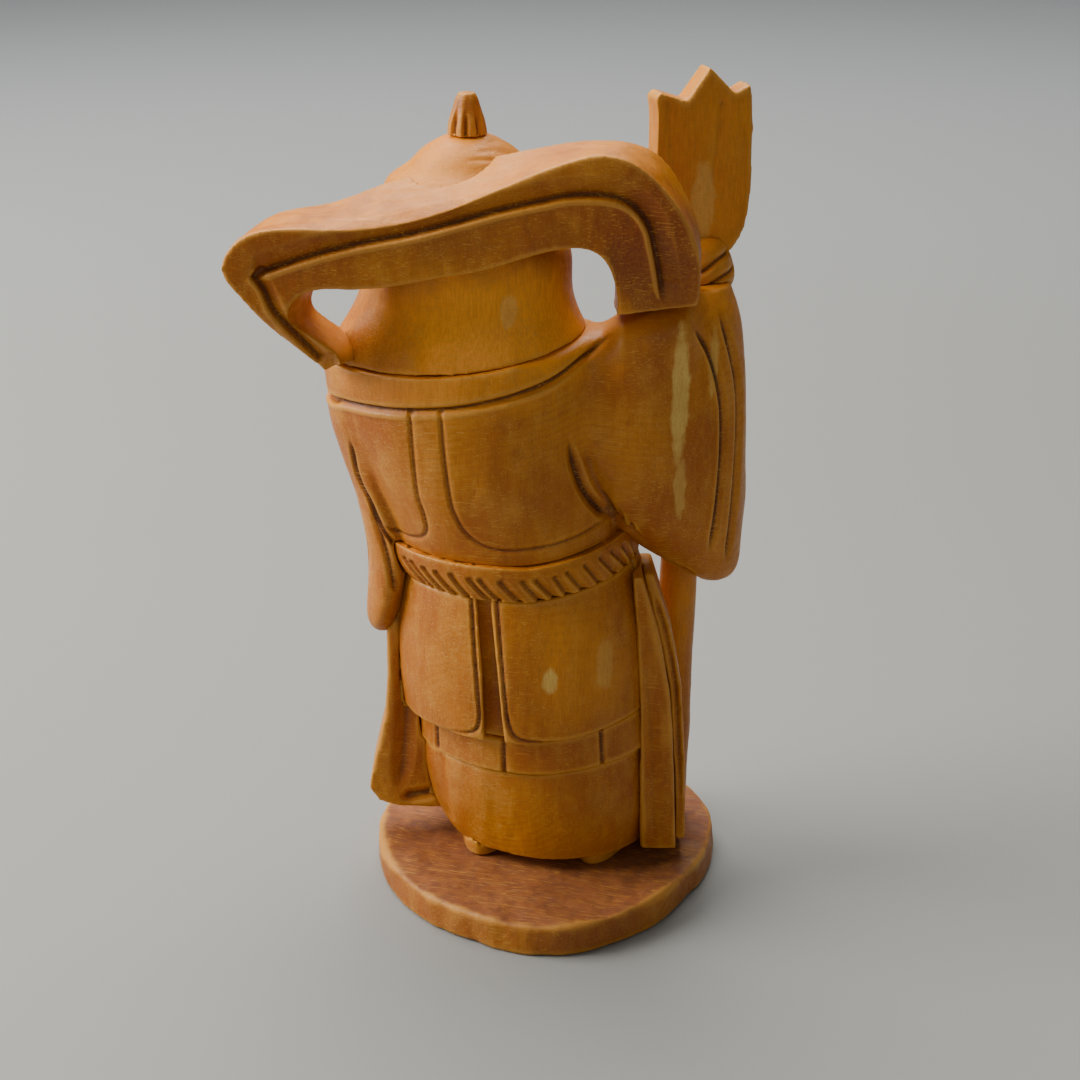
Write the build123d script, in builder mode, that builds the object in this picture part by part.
from build123d import *

import os
from math import cos, radians, sin

# A carved boxwood figurine of a robed court figure, 157 mm tall.
#
# The figure stands on an oval plinth and faces -Y. Its right arm, towards -X, is raised and holds
# a long staff that ends in a flat three-petalled blossom. A broad scarf stands up behind the head
# and runs from the left shoulder to the right one. The body leans to the figure's left as it
# rises, so each oval section carries its own centre.
#
# Every carved mass is a solid of its own. Neighbours meet face to face along the carved lines:
# the piece that comes first keeps its shape and the next one is cut back to fit.
#
# Lengths are in millimetres and angles in degrees.

# Driving dimensions --------------------------------------------------------------------------

PLINTH_TOP = 6.5
HEM = 9.0  # lower edge of the robe
BORDER_FOOT = 28.2  # lower edge of the pleated border
TAIL_FOOT = 35.4  # lower edge of the coat tails
BELT_FOOT = 64.0
BELT_TOP = 71.0
CLOTH_TOP = 129.0  # where the cloth over the neck meets the cap
HEAD_X, HEAD_Y = 14.1, 2.6  # the axis of the head, the cap and the knot
KNOT_FOOT, KNOT_TOP = 145.0, 153.4
BLOSSOM_FOOT = 122.5
PLATE = 5.0  # thickness of the blossom
RAISED = 0.3  # how far the collar band stands proud of the chest
TURN = 15.0  # the scarf and the raised arm are turned by this angle
BLOSSOM_TURN = 32.0
FAR = 90.0  # longer than any piece

# A vertical plane turned with the shoulders. Its x runs to the figure's left, its y runs up and
# its normal points to the front, so an offset of -18 lies 18 mm behind the body's axis.
ACROSS = Plane(
    origin=(0, 0, 0),
    x_dir=(cos(radians(TURN)), sin(radians(TURN)), 0),
    z_dir=(sin(radians(TURN)), -cos(radians(TURN)), 0),
)
FRONT = Plane(origin=(0, 0, 0), x_dir=(1, 0, 0), z_dir=(0, -1, 0))

# Oval sections: height, centre to the left, centre to the back, half width, half depth -------

ROBE = [(HEM, 0.4, -3.0, 20.3, 17.3), (13, 1.2, -2.9, 22.0, 18.0), (20, 2.2, -2.6, 23.2, 18.6),
        (BORDER_FOOT, 2.6, -2.4, 23.0, 18.4)]
BORDER = [(BORDER_FOOT, 2.4, -2.3, 24.0, 19.1), (TAIL_FOOT, 3.2, -2.0, 23.6, 18.7)]
SKIRT = [(TAIL_FOOT, 4.2, -1.8, 22.6, 17.7), (52, 5.0, -1.4, 22.0, 17.2),
         (BELT_FOOT, 6.0, -1.0, 21.0, 16.4)]
TAILS = [(TAIL_FOOT, 4.5, -1.8, 25.0, 20.4), (46, 5.0, -1.6, 25.0, 20.4),
         (56, 5.6, -1.2, 24.2, 19.4), (BELT_FOOT, 6.0, -1.0, 22.6, 17.9)]
BELT = [(BELT_FOOT, 6.2, -0.8, 23.0, 18.2), (67.5, 7.0, -0.5, 24.0, 19.0),
        (BELT_TOP, 7.7, -0.2, 23.9, 18.8)]
BUST = [(BELT_TOP, 7.7, -0.2, 22.6, 17.6), (78, 9.4, 0.4, 23.4, 18.3),
        (86, 11.8, 1.2, 24.2, 18.8), (94, 13.8, 2.0, 25.4, 18.8),
        (101, 14.8, 2.6, 26.4, 18.2), (107, 15.0, 2.8, 26.2, 17.6), (115, 14.6, 2.8, 23.0, 16.0)]
CLOTH = [(100, 15.0, 3.0, 25.6, 17.2), (107, 15.0, 3.0, 25.2, 17.0), (111, 14.8, 2.9, 23.2, 16.2),
         (116, 14.8, 2.8, 20.4, 15.0), (123, 14.3, 2.7, 18.8, 14.6),
         (CLOTH_TOP, HEAD_X, HEAD_Y, 16.2, 14.8)]
FACE = [(107, HEAD_X, -8.2, 4.6, 4.8), (109.5, HEAD_X, -7.4, 8.4, 7.8),
        (115, HEAD_X, -6.4, 11.4, 9.8), (121, HEAD_X, -5.6, 12.8, 10.8),
        (127, HEAD_X, -5.2, 13.0, 10.8), (132, HEAD_X, -4.6, 12.2, 10.2)]


def spot(side, back):
    """The x and y of a point given to the left and to the back in the turned plane."""
    x = side * cos(radians(TURN)) - back * sin(radians(TURN))
    y = side * sin(radians(TURN)) + back * cos(radians(TURN))
    return (x, y)


def oval(height, x, y, half_width, half_depth, turn=0.0):
    """One horizontal oval section."""
    with BuildSketch(Plane.XY.offset(height)) as section:
        with Locations(Location((x, y), turn)):
            Ellipse(half_width, half_depth)
    return section.sketch


def tower(rings, grow=0.0):
    """A smooth solid through a pile of oval sections, larger all round by grow."""
    with BuildPart() as pile:
        loft(sections=[oval(z, x, y, a + grow, b + grow) for z, x, y, a, b in rings])
    return pile.part


def turned_tower(rings, turn):
    """The same for sections placed in the turned plane, each oval turned as well."""
    with BuildPart() as pile:
        loft(sections=[oval(z, *spot(s, d), a, b, turn) for z, s, d, a, b in rings])
    return pile.part


def prism(corners, back, front, plane=ACROSS):
    """A region of an upright plane, run between two depths behind the body's axis."""
    with BuildPart() as block:
        with BuildSketch(plane.offset(-back)):
            with BuildLine():
                Polyline(*corners, close=True)
            make_face()
        extrude(amount=back - front)
    return block.part


def largest(builder):
    """The main solid of a piece, without the slivers that its neighbours cut off."""
    return builder.part.solids().sort_by(SortBy.VOLUME)[-1]


def save(piece, name):
    """Labels a finished piece and writes it as its own node."""
    piece.label = name
    export_step(piece, f"parts/{name}.step")


os.makedirs("parts", exist_ok=True)

# The plinth ----------------------------------------------------------------------------------

with BuildPart() as plinth:
    with BuildSketch():
        with BuildLine():
            Spline(
                (35, -2), (31, 12), (21, 25), (7, 32), (-9, 33), (-23, 22), (-31, 2),
                (-30, -17), (-20, -30), (0, -35), (19, -31), (31, -18),
                periodic=True,
            )
        make_face()
    extrude(amount=PLINTH_TOP)
    fillet(plinth.faces().sort_by(Axis.Z)[-1].edges(), 0.9)
    fillet(plinth.faces().sort_by(Axis.Z)[0].edges(), 0.5)
    with BuildSketch(Plane.XY.offset(PLINTH_TOP)):
        with Locations((1, -3)):
            Ellipse(15.5, 12)
    extrude(amount=HEM - PLINTH_TOP)
save(plinth.part, "plinth")

# The robe, from the hem up to the belt -------------------------------------------------------

with BuildPart() as under_robe:
    add(tower(ROBE))
save(under_robe.part, "under_robe")

with BuildPart() as border:
    add(tower(BORDER))
save(border.part, "pleated_border")

with BuildPart() as skirt:
    add(tower(SKIRT))
save(skirt.part, "skirt_core")

# Four coat tails hang round the skirt. They part at the back, at the front and over each hip.
SLIT_BACK = [(13.2, BELT_FOOT), (12.4, 50), (11.8, 28), (7.6, 28), (9.4, 50), (10.6, BELT_FOOT)]
SLIT_FRONT = [(6.4, BELT_FOOT), (8.2, 30), (4.2, 30), (5.6, BELT_FOOT)]
HIPS = (-50, 2.6), (50, -2.2)  # the line through both hip vents, seen from above
VENT = 0.8
with BuildPart() as tails:
    add(tower(TAILS))
    add(skirt.part, mode=Mode.SUBTRACT)
    add(prism(SLIT_BACK, FAR, 0), mode=Mode.SUBTRACT)
    add(prism(SLIT_FRONT, 0, -FAR, FRONT), mode=Mode.SUBTRACT)
    with BuildSketch(Plane.XY.offset(TAIL_FOOT)):
        with BuildLine():
            Line(*HIPS)
        trace(line_width=VENT)
    extrude(amount=FAR, mode=Mode.SUBTRACT)
for tail in tails.part.solids():
    middle = tail.center()
    side = "left" if middle.X > 5 else "right"
    face = "back" if middle.Y > 0 else "front"
    save(Part(tail.wrapped), f"coat_tail_{face}_{side}")

shoes = []
for name, x, y in (("shoe_left", 11.0, -8.2), ("shoe_right", -10.8, -10.6)):
    with BuildPart() as shoe:
        with BuildSketch(Plane.XY.offset(PLINTH_TOP)):
            with Locations((x, y)):
                Ellipse(6.6, 20.5)
        extrude(amount=6.5)
        fillet(shoe.faces().sort_by(Axis.Z)[-1].edges(), 1.8)
        add(plinth.part, mode=Mode.SUBTRACT)
        add(under_robe.part, mode=Mode.SUBTRACT)
    shoes.append(shoe)
    save(shoe.part, name)

with BuildPart() as belt:
    add(tower(BELT))
save(belt.part, "belt")

# The right arm: staff, blossom, fist and hanging sleeve --------------------------------------

with BuildPart() as staff:
    for height, side in ((PLINTH_TOP, -24.2), (BLOSSOM_FOOT, -26.4)):
        with BuildSketch(Plane.XY.offset(height)):
            with Locations(spot(side, -8)):
                Circle(3.6)
    loft()
save(staff.part, "staff")

with BuildPart() as blossom:
    plate_middle = Plane(
        origin=(*spot(-26.6, -6.5), 0),
        x_dir=(cos(radians(BLOSSOM_TURN)), sin(radians(BLOSSOM_TURN)), 0),
        z_dir=(sin(radians(BLOSSOM_TURN)), -cos(radians(BLOSSOM_TURN)), 0),
    )
    with BuildSketch(plate_middle):
        with BuildLine():
            teeth = Polyline((9.2, 152.2), (8.2, 153.1), (3.2, 151.3), (-0.9, 157.2),
                             (-5.6, 152.2), (-8.7, 153.8), (-9.4, 146))
            right_edge = Spline(teeth @ 1, (-9.3, 133.5), (-7.4, 126), (-4.2, BLOSSOM_FOOT))
            foot = Line(right_edge @ 1, (4.2, BLOSSOM_FOOT))
            left_edge = Spline(foot @ 1, (7.4, 127), (9.0, 135), teeth @ 0)
        make_face()
    extrude(amount=PLATE / 2, both=True)
save(blossom.part, "blossom")

FIST = [(112, -26.0, -4.2, 3.4, 3.4), (116, -26.8, -5.8, 4.9, 5.2), (119.4, -27.4, -7.0, 6.4, 6.8),
        (BLOSSOM_FOOT, -27.2, -7.0, 6.0, 6.4), (125.5, -27.2, -6.8, 4.8, 5.2), (127, -27.2, -6.8, 2.6, 2.8)]
SLEEVE_TURN = 33.0  # the hanging sleeve swings forward beyond the turned plane
SLEEVE = [(62.6, -31.4, 0.0, 2.6, 2.2), (65, -30.0, 0.3, 5.8, 4.4), (72, -25.6, 1.2, 11.0, 7.6),
          (80, -22.4, 2.2, 14.6, 9.2), (90, -20.4, 3.0, 16.6, 9.8), (100, -19.4, 3.2, 17.2, 9.6),
          (109, -20.4, 2.4, 15.4, 8.8), (115, -23.4, 0.4, 11.0, 7.6), (119, -26.2, -2.4, 6.6, 6.0)]
with BuildPart() as sleeve_right:
    add(turned_tower(SLEEVE, SLEEVE_TURN))
    add(staff.part, mode=Mode.SUBTRACT)
with BuildPart() as hand_right:
    add(turned_tower(FIST, SLEEVE_TURN))
    add(staff.part, mode=Mode.SUBTRACT)
    add(blossom.part, mode=Mode.SUBTRACT)
    add(sleeve_right.part, mode=Mode.SUBTRACT)
save(hand_right.part, "hand_right")

# The collar band's upper and lower edges in the turned plane.
COLLAR_HEAD = [(-40, 119), (-14, 115.2), (-5, 111.9), (5, 109.3), (18, 107.1), (34, 105.9),
               (70, 104)]
COLLAR_FOOT = [(-40, 114.6), (-12, 112.4), (-6.2, 109.2), (-0.6, 105.9), (6.8, 103.5), (18, 101.0),
               (34, 99.4), (70, 98)]

# The head, the cap, its fluted knot and the cloth over the neck ------------------------------

with BuildPart() as head:
    add(tower(FACE))
    with BuildSketch(Plane.XZ.offset(13.4)):
        with BuildLine():
            Polyline((HEAD_X, 124.5), (HEAD_X + 2.6, 117.4), (HEAD_X - 2.6, 117.4), close=True)
        make_face()
    extrude(amount=5.2, taper=16)
with BuildPart() as cap:
    with BuildSketch(Plane.XZ):
        with BuildLine():
            crown = Spline((0, 146.4), (6.0, 145.2), (12.4, 140.2), (15.6, 133.5), (15.7, 128.0),
                           tangents=((1, 0), (-0.1, -1)))
            Polyline(crown @ 1, (0, 128.0), crown @ 0)
        make_face()
    revolve(axis=Axis.Z)
cap_at_head = Location((HEAD_X, HEAD_Y, 0)) * cap.part
with BuildPart() as cap_cut:
    add(cap_at_head)
    add(head.part, mode=Mode.SUBTRACT)

with BuildPart() as knot:
    for height, radius in ((KNOT_FOOT, 3.4), (149, 2.9), (152.4, 2.1), (KNOT_TOP, 1.5)):
        with BuildSketch(Plane.XY.offset(height)):
            with Locations((HEAD_X, HEAD_Y)):
                RegularPolygon(radius, 8)
    loft(ruled=True)
    add(cap_cut.part, mode=Mode.SUBTRACT)
save(knot.part, "cap_knot")
save(head.part, "head")

with BuildPart() as neck_cloth:
    add(tower(CLOTH))
    add(head.part, mode=Mode.SUBTRACT)
    add(cap_cut.part, mode=Mode.SUBTRACT)
    with BuildSketch(ACROSS):
        with BuildLine():
            collar_line = Spline(*COLLAR_HEAD)
            Polyline(collar_line @ 1, (70, 160), (-40, 160), collar_line @ 0)
        make_face()
    extrude(amount=FAR, both=True, mode=Mode.INTERSECT)
save(neck_cloth.part, "neck_cloth")
save(cap_cut.part, "cap")

# The bust, the collar band round the shoulders and the crossed lapels ------------------------

with BuildPart() as collar:
    add(tower(BUST, RAISED))
    with BuildSketch(ACROSS):
        with BuildLine():
            upper = Spline(*reversed(COLLAR_HEAD))
            lower = Spline(*COLLAR_FOOT)
            Line(upper @ 1, lower @ 0)
            Line(lower @ 1, upper @ 0)
        make_face()
    extrude(amount=FAR, both=True, mode=Mode.INTERSECT)
    add(head.part, mode=Mode.SUBTRACT)
    add(sleeve_right.part, mode=Mode.SUBTRACT)
save(collar.part, "collar_band")

with BuildPart() as bust:
    add(tower(BUST))
    with BuildSketch(ACROSS):
        with BuildLine():
            upper = Spline(*COLLAR_FOOT)
            Polyline(upper @ 1, (70, 60), (-40, 60), upper @ 0)
        make_face()
    extrude(amount=FAR, both=True, mode=Mode.INTERSECT)
    add(sleeve_right.part, mode=Mode.SUBTRACT)
save(bust.part, "bust")
save(sleeve_right.part, "sleeve_right")

# Crossed lapels: the left one lies over the right one ----------------------------------------

LAPEL_LEFT = [(22.5, 103), (16.0, 103), (-10.5, 70), (-3.5, 70)]
LAPEL_RIGHT = [(3, 106), (9.5, 106), (26, 78), (20, 78)]


def lapel(corners, proud):
    """A carved band that follows the chest."""
    with BuildPart() as band:
        add(tower(BUST, proud))
        add(prism(corners, 0, -FAR, FRONT), mode=Mode.INTERSECT)
        add(bust.part, mode=Mode.SUBTRACT)
        add(collar.part, mode=Mode.SUBTRACT)
        add(head.part, mode=Mode.SUBTRACT)
        add(neck_cloth.part, mode=Mode.SUBTRACT)
        add(sleeve_right.part, mode=Mode.SUBTRACT)
    return band.part


with BuildPart() as lapel_left:
    add(lapel(LAPEL_LEFT, 1.6))
save(lapel_left.part, "lapel_left")
with BuildPart() as crossing_lapel:
    add(lapel(LAPEL_RIGHT, 1.0))
    add(lapel_left.part, mode=Mode.SUBTRACT)
with BuildPart() as lapel_right:
    add(largest(crossing_lapel))
save(lapel_right.part, "lapel_right")

# The scarf behind the head -------------------------------------------------------------------

SCARF_BACK, SCARF_FRONT = 18.0, 6.0  # depths of the scarf's broad back face and of its front
OVER_BACK = [(39.6, 106.6), (46.6, 114.4), (53.2, 122.2), (55.8, 127.2), (54.0, 130.8),
             (37.7, 133.7), (18.9, 136.6), (7.3, 141.2), (-2.3, 145), (-9.3, 146.4),
             (-15.1, 144.4), (-20.3, 139.5), (-24.6, 132), (-25.6, 118.0)]
OVER_FRONT = [(38.8, 105.6), (45.6, 113.4), (51.8, 121.4), (53.8, 126.0), (52.4, 130.2),
              (38.5, 135.8), (27.8, 139.5), (5.4, 144.6), (-2.4, 146.1), (-9.6, 146.6),
              (-17.5, 145.0), (-21.9, 140.5), (-25.8, 132), (-26.2, 117.0)]
UNDER_BACK = [(-11.5, 116.0), (-11.3, 124.0), (-8.6, 129.0), (-3.0, 130.4), (9.9, 127),
              (20.4, 125), (34.2, 123.3), (42.6, 122.2), (44.8, 119.4), (41.6, 114.4),
              (36.4, 108.6)]
UNDER_FRONT = [(-11.5, 115.0), (-11.3, 124.0), (-8.6, 129.0), (-3.0, 130.4), (9.9, 127),
               (20.4, 125), (34.2, 122.6), (40.6, 121.0), (41.8, 118.0), (38.0, 112.6),
               (34.4, 107.4)]


def scarf_section(depth, over, under):
    """The scarf's outline at one depth: a hoop from the left shoulder to the right one."""
    with BuildSketch(ACROSS.offset(-depth)) as outline:
        with BuildLine():
            upper = Spline(*over)
            lower = Spline(*under)
            Line(upper @ 1, lower @ 0)
            Line(lower @ 1, upper @ 0)
        make_face()
    return outline.sketch


with BuildPart() as scarf:
    loft(sections=[scarf_section(SCARF_BACK, OVER_BACK, UNDER_BACK),
                   scarf_section(SCARF_FRONT, OVER_FRONT, UNDER_FRONT)], ruled=True)
    for neighbour in (cap_cut, neck_cloth, head, collar, bust, sleeve_right, hand_right, blossom):
        add(neighbour.part, mode=Mode.SUBTRACT)
save(largest(scarf), "scarf")

# The left arm: hanging sleeve and a closed hand before the belt ------------------------------

SLEEVE_LEFT = [(50.4, 31.8, -6.4, 2.2, 4.8), (54, 31.4, -7.0, 3.7, 9.0), (62, 29.8, -8.0, 4.8, 11.8),
               (72, 29.8, -8.0, 5.8, 12.6), (82, 31.4, -7.0, 6.4, 12.2), (92, 33.8, -5.4, 6.8, 11.0),
               (99, 34.6, -4.0, 6.4, 9.6), (103, 34.2, -3.4, 5.4, 8.2)]
FOREARM = Plane(origin=(32.5, -7, 86), z_dir=(-9, -10.5, -6))
FOREARM_LENGTH = 17.0
HAND_LEFT = [(73.4, 20.4, -20.0, 2.8, 2.6), (75.4, 20.2, -20.3, 4.8, 4.2),
             (78.6, 20.0, -20.6, 5.5, 4.9), (82, 20.2, -20.4, 4.8, 4.2), (84, 20.5, -20.2, 2.8, 2.6)]
with BuildPart() as sleeve_left:
    add(turned_tower(SLEEVE_LEFT, TURN))
    with BuildSketch(FOREARM):
        Circle(7.2)
    with BuildSketch(FOREARM.offset(FOREARM_LENGTH)):
        Circle(5.8)
    loft()
    for neighbour in (bust, belt, collar, neck_cloth, lapel_left, lapel_right, tails, skirt):
        add(neighbour.part, mode=Mode.SUBTRACT)
save(largest(sleeve_left), "sleeve_left")
with BuildPart() as hand_left:
    add(tower(HAND_LEFT))
    for neighbour in (bust, lapel_left, lapel_right, sleeve_left):
        add(neighbour.part, mode=Mode.SUBTRACT)
save(largest(hand_left), "hand_left")

# The knot of the belt and its two hanging ends -----------------------------------------------

BELT_KNOT = [(62.6, 6.4, -19.2, 2.4, 1.8), (65, 6.8, -20.0, 5.6, 3.2), (68, 7.2, -20.0, 6.4, 3.6),
             (71, 7.6, -19.4, 5.2, 3.0), (73, 7.8, -18.6, 2.2, 1.6)]
END_LEFT = [(6.4, BELT_FOOT), (9.8, BELT_FOOT), (13.4, 43), (7.4, 42)]
END_RIGHT = [(2.2, BELT_FOOT), (5.6, BELT_FOOT), (5.0, 45), (-1.2, 44)]
with BuildPart() as belt_knot:
    add(tower(BELT_KNOT))
    for neighbour in (bust, belt, tails, skirt, lapel_left):
        add(neighbour.part, mode=Mode.SUBTRACT)
save(largest(belt_knot), "belt_knot")
for name, corners in (("belt_end_left", END_LEFT), ("belt_end_right", END_RIGHT)):
    with BuildPart() as ribbon:
        add(tower(TAILS, 1.7))
        add(prism(corners, 0, -FAR, FRONT), mode=Mode.INTERSECT)
        add(tower(TAILS), mode=Mode.SUBTRACT)
        add(belt_knot.part, mode=Mode.SUBTRACT)
    save(largest(ribbon), name)

# The sashes that hang beside the skirt -------------------------------------------------------

SASH_OUTER = [(-15.4, 66.6), (-17.4, 66.6), (-20.2, 56), (-22.9, 43), (-24.3, 25), (-24.9, 8.8),
              (-17.9, 8.8), (-17.4, 38), (-16.4, 56)]
SASH_INNER = [(-14.0, 66.2), (-19.4, 66.2), (-22.6, 56), (-25.2, 43), (-26.6, 25), (-26.8, 9.4),
              (-16.0, 9.4)]
SASH_LEFT = [(20.0, 62), (31.6, 62), (30.9, 52), (30.9, 42), (31.8, 33), (34.2, 23), (35.6, 16.6),
             (33.6, 13.6), (29.0, 12.6), (20.0, 12.6)]
sashes = []
for name, corners, back, front in (("sash_right_outer", SASH_OUTER, 10.4, 2.0),
                                   ("sash_right_inner", SASH_INNER, 7.6, -3.0),
                                   ("sash_left", SASH_LEFT, 0.4, -8.0)):
    with BuildPart() as sash:
        add(prism(corners, back, front))
        for neighbour in (under_robe, border, skirt, tails, belt, bust, staff, sleeve_right,
                          sleeve_left, *shoes, *sashes):
            add(neighbour.part, mode=Mode.SUBTRACT)
    sashes.append(sash)
    save(largest(sash), name)
